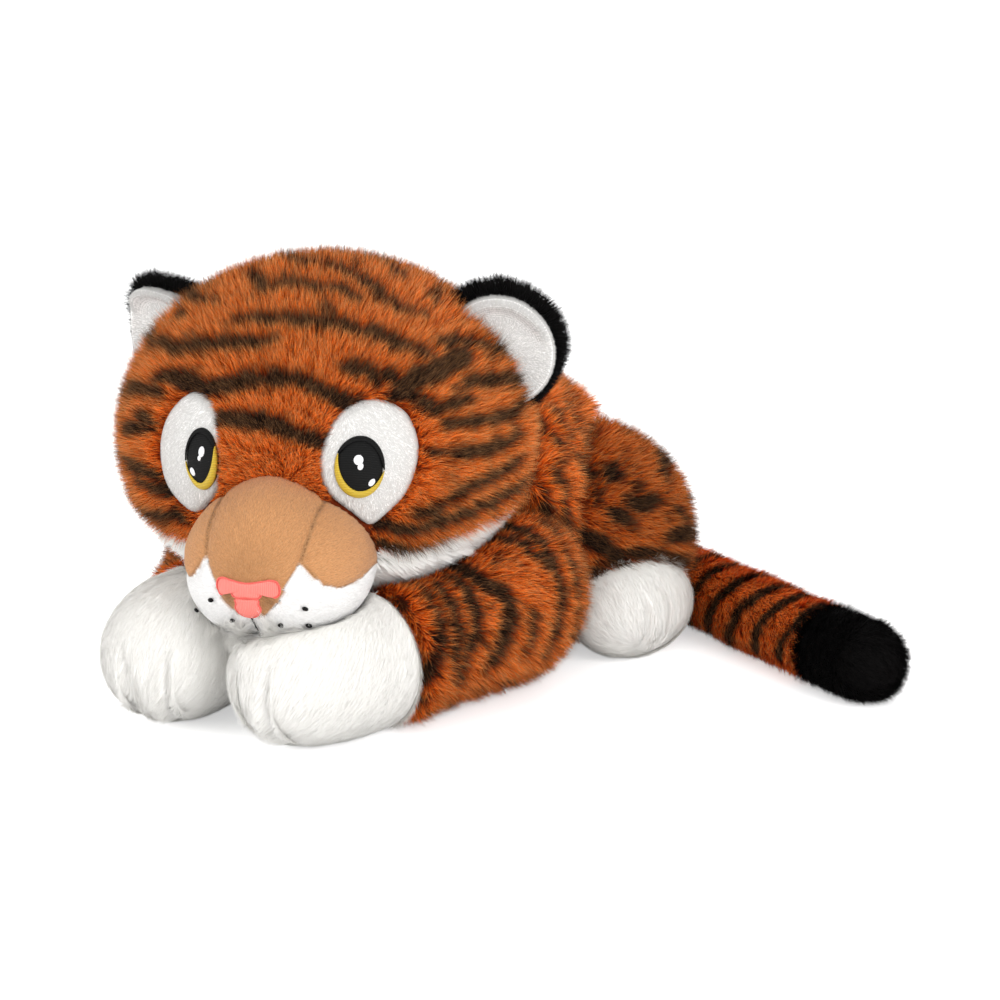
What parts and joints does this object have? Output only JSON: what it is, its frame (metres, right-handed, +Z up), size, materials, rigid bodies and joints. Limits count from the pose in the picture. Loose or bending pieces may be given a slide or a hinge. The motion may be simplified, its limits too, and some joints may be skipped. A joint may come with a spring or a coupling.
{
  "type": "plush tiger",
  "caption": "Plush tiger cub lying on its belly, chin between its front paws, with a sewn nodding head, folding ears, swinging legs and a long tail curled to its left.",
  "frame": {"origin": "middle of the flat patch of belly that the tiger rests on", "axes": "+Z up, the tiger faces -Y, +X is its left side"},
  "size_m": [0.3509, 0.3337, 0.194],
  "materials": {
    "belly_panel": "white plush fur",
    "body_cover": "deep-pile striped plush fur",
    "body_stuffing": "loose white polyester filling",
    "chin_ruff": "white plush fur",
    "ear_back_left": "black plush fur",
    "ear_back_right": "black plush fur",
    "ear_lining_left": "short white plush",
    "ear_lining_right": "short white plush",
    "eye_highlight_left": "short white plush",
    "eye_highlight_right": "short white plush",
    "eye_iris_left": "satin-stitched gold thread",
    "eye_iris_right": "satin-stitched gold thread",
    "eye_patch_left": "short white plush",
    "eye_patch_right": "short white plush",
    "eye_pupil_left": "satin-stitched black thread",
    "eye_pupil_right": "satin-stitched black thread",
    "front_leg_cover_left": "deep-pile striped plush fur",
    "front_leg_cover_right": "deep-pile striped plush fur",
    "front_leg_stuffing_left": "loose white polyester filling",
    "front_leg_stuffing_right": "loose white polyester filling",
    "front_paw_left": "white plush fur",
    "front_paw_right": "white plush fur",
    "haunch_cover_left": "deep-pile striped plush fur",
    "haunch_cover_right": "deep-pile striped plush fur",
    "haunch_stuffing_left": "loose white polyester filling",
    "haunch_stuffing_right": "loose white polyester filling",
    "head_cover": "deep-pile striped plush fur",
    "head_stuffing": "loose white polyester filling",
    "hind_paw_left": "white plush fur",
    "hind_paw_right": "white plush fur",
    "hind_paw_stuffing_left": "loose white polyester filling",
    "hind_paw_stuffing_right": "loose white polyester filling",
    "mouth_stitch": "satin-stitched black thread",
    "muzzle_lower_left": "short white plush",
    "muzzle_lower_right": "short white plush",
    "muzzle_side_left": "short tan plush",
    "muzzle_side_right": "short tan plush",
    "muzzle_stuffing": "loose white polyester filling",
    "muzzle_top": "short tan plush",
    "neck_plug": "loose white polyester filling",
    "nose": "satin-stitched pink thread",
    "tail_cover": "deep-pile striped plush fur",
    "tail_root": "deep-pile striped plush fur",
    "tail_stuffing": "loose white polyester filling",
    "tail_tip": "black plush fur",
    "whisker_dot_left_1": "satin-stitched black thread",
    "whisker_dot_left_2": "satin-stitched black thread",
    "whisker_dot_left_3": "satin-stitched black thread",
    "whisker_dot_right_1": "satin-stitched black thread",
    "whisker_dot_right_2": "satin-stitched black thread",
    "whisker_dot_right_3": "satin-stitched black thread"
  },
  "bodies": {
    "torso": {"body_cover": "body_cover", "belly_panel": "belly_panel", "body_stuffing": "body_stuffing"},
    "neck": {"neck_plug": "neck_plug"},
    "head": {"head_cover": "head_cover", "chin_ruff": "chin_ruff", "head_stuffing": "head_stuffing", "muzzle_top": "muzzle_top", "muzzle_side_left": "muzzle_side_left", "muzzle_side_right": "muzzle_side_right", "muzzle_lower_left": "muzzle_lower_left", "muzzle_lower_right": "muzzle_lower_right", "muzzle_stuffing": "muzzle_stuffing", "nose": "nose", "mouth_stitch": "mouth_stitch", "eye_patch_left": "eye_patch_left", "eye_pupil_left": "eye_pupil_left", "eye_iris_left": "eye_iris_left", "eye_highlight_left": "eye_highlight_left", "whisker_dot_left_1": "whisker_dot_left_1", "whisker_dot_left_2": "whisker_dot_left_2", "whisker_dot_left_3": "whisker_dot_left_3", "eye_patch_right": "eye_patch_right", "eye_pupil_right": "eye_pupil_right", "eye_iris_right": "eye_iris_right", "eye_highlight_right": "eye_highlight_right", "whisker_dot_right_1": "whisker_dot_right_1", "whisker_dot_right_2": "whisker_dot_right_2", "whisker_dot_right_3": "whisker_dot_right_3"},
    "tail_base": {"tail_root": "tail_root"},
    "tail": {"tail_cover": "tail_cover", "tail_tip": "tail_tip", "tail_stuffing": "tail_stuffing"},
    "ear_left": {"ear_back_left": "ear_back_left", "ear_lining_left": "ear_lining_left"},
    "front_leg_left": {"front_leg_cover_left": "front_leg_cover_left", "front_paw_left": "front_paw_left", "front_leg_stuffing_left": "front_leg_stuffing_left"},
    "hind_leg_left": {"haunch_cover_left": "haunch_cover_left", "haunch_stuffing_left": "haunch_stuffing_left", "hind_paw_left": "hind_paw_left", "hind_paw_stuffing_left": "hind_paw_stuffing_left"},
    "ear_right": {"ear_back_right": "ear_back_right", "ear_lining_right": "ear_lining_right"},
    "front_leg_right": {"front_leg_cover_right": "front_leg_cover_right", "front_paw_right": "front_paw_right", "front_leg_stuffing_right": "front_leg_stuffing_right"},
    "hind_leg_right": {"haunch_cover_right": "haunch_cover_right", "haunch_stuffing_right": "haunch_stuffing_right", "hind_paw_right": "hind_paw_right", "hind_paw_stuffing_right": "hind_paw_stuffing_right"}
  },
  "joints": [
    {"name": "head_nod", "type": "hinge", "parent": "torso", "child": "neck", "pos_m": [-0.001, -0.0705, 0.117], "axis": [-0.9272, -0.3746, 0], "range_deg": [0, 15], "stiffness_Nm_per_rad": 1.2},
    {"name": "head_tilt", "type": "hinge", "parent": "neck", "child": "head", "pos_m": [-0.001, -0.0705, 0.117], "axis": [0.3331, -0.8245, -0.4573], "range_deg": [-12, 12], "stiffness_Nm_per_rad": 1},
    {"name": "ear_fold_left", "type": "hinge", "parent": "head", "child": "ear_left", "pos_m": [0.06072, -0.03747, 0.1491], "axis": [0.5862, 0.3954, -0.7071], "range_deg": [-15, 25], "stiffness_Nm_per_rad": 0.02},
    {"name": "ear_fold_right", "type": "hinge", "parent": "head", "child": "ear_right", "pos_m": [-0.06834, -0.08962, 0.1491], "axis": [0.7032, -0.0739, 0.7071], "range_deg": [-15, 25], "stiffness_Nm_per_rad": 0.02},
    {"name": "front_leg_swing_left", "type": "hinge", "parent": "torso", "child": "front_leg_left", "pos_m": [0.064, -0.0355, 0.0435], "axis": [0, 0, 1], "range_deg": [0, 20], "stiffness_Nm_per_rad": 0.3},
    {"name": "front_leg_swing_right", "type": "hinge", "parent": "torso", "child": "front_leg_right", "pos_m": [-0.058, -0.0475, 0.0435], "axis": [0, 0, -1], "range_deg": [0, 20], "stiffness_Nm_per_rad": 0.3},
    {"name": "hind_leg_lift_left", "type": "hinge", "parent": "torso", "child": "hind_leg_left", "pos_m": [0.0575, 0.0627, 0.0487], "axis": [-1, 0, 0], "range_deg": [0, 25], "stiffness_Nm_per_rad": 0.3},
    {"name": "hind_leg_lift_right", "type": "hinge", "parent": "torso", "child": "hind_leg_right", "pos_m": [-0.0575, 0.0627, 0.0487], "axis": [-1, 0, 0], "range_deg": [0, 25], "stiffness_Nm_per_rad": 0.3},
    {"name": "tail_swing", "type": "hinge", "parent": "torso", "child": "tail_base", "pos_m": [0, 0.086, 0.028], "axis": [0, 0, 1], "range_deg": [0, 60], "stiffness_Nm_per_rad": 0.1},
    {"name": "tail_lift", "type": "hinge", "parent": "tail_base", "child": "tail", "pos_m": [0, 0.086, 0.028], "axis": [-0.1909, -0.9816, 0], "range_deg": [0, 20], "stiffness_Nm_per_rad": 0.2}
  ]
}
